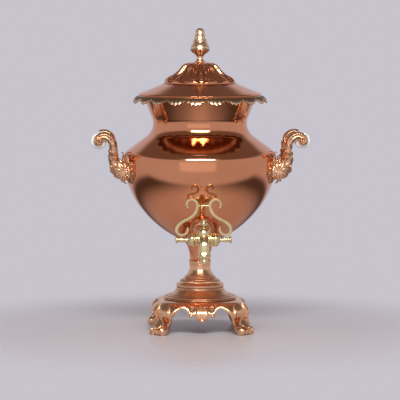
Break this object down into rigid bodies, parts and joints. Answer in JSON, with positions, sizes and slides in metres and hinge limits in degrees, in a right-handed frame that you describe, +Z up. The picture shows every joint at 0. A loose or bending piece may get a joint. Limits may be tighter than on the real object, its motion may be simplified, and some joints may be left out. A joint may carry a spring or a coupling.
{
  "type": "tea urn",
  "caption": "Copper tea urn with a scooped lift-off lid, porcelain handles, a plug tap with a lyre lever, an iron heater inside and a cast footed stand.",
  "frame": {"origin": "on the ground, midway between the spout ring in front and the bowl behind; the urn's own vertical axis stands 22 mm behind it", "axes": "+Z up, +X to the right of someone facing the tap, -Y towards that person, along the tap"},
  "size_m": [0.3042, 0.256, 0.42],
  "materials": {
    "copper": "polished copper sheet, darker red-brown where it has toned",
    "bronze": "rose bronze castings, polished on the high spots",
    "tap_brass": "yellow brass, aged slightly green-brown in the hollows",
    "porcelain": "white glazed porcelain",
    "iron": "bare dark iron",
    "fastener_brass": "plain turned brass"
  },
  "bodies": {
    "urn": {"bowl": "copper", "neck": "copper", "stem_socket": "copper", "tap_boss": "copper", "heater_tube": "copper", "stand": "bronze", "pedestal": "bronze", "mouth_border": "bronze", "right_front_bracket": "bronze", "left_front_bracket": "bronze", "right_rear_bracket": "bronze", "left_rear_bracket": "bronze", "grip_end_nuts": "bronze", "tap_body": "tap_brass", "spout_nozzle": "tap_brass", "tap_finial": "tap_brass", "plug_glands": "tap_brass", "tap_nut": "tap_brass", "tap_washer": "tap_brass", "left_grip": "porcelain", "right_grip": "porcelain", "tie_washer": "iron", "tie_nut": "iron", "tie_rod": "iron", "bracket_washers": "fastener_brass", "bracket_nuts": "fastener_brass", "left_grip_rod": "fastener_brass", "right_grip_rod": "fastener_brass"},
    "lid": {"lid_shell": "copper", "lid_bezel": "copper", "finial": "bronze", "finial_washer": "fastener_brass", "finial_nut": "fastener_brass"},
    "heater_core": {"heater_slug": "iron", "heater_cap": "copper", "heater_knob": "tap_brass"},
    "tap_lever": {"tap_plug": "tap_brass", "lyre_lever": "tap_brass", "spindle_caps": "tap_brass"}
  },
  "joints": [
    {"name": "lid_lift", "type": "slide", "parent": "urn", "child": "lid", "axis": [0, 0, 1], "range_m": [0, 0.12]},
    {"name": "heater_lift", "type": "slide", "parent": "urn", "child": "heater_core", "axis": [0, 0, 1], "range_m": [0, 0.04]},
    {"name": "tap_turn", "type": "hinge", "parent": "urn", "child": "tap_lever", "pos_m": [0, -0.103, 0.1379], "axis": [1, 0, 0], "range_deg": [0, 90]}
  ]
}
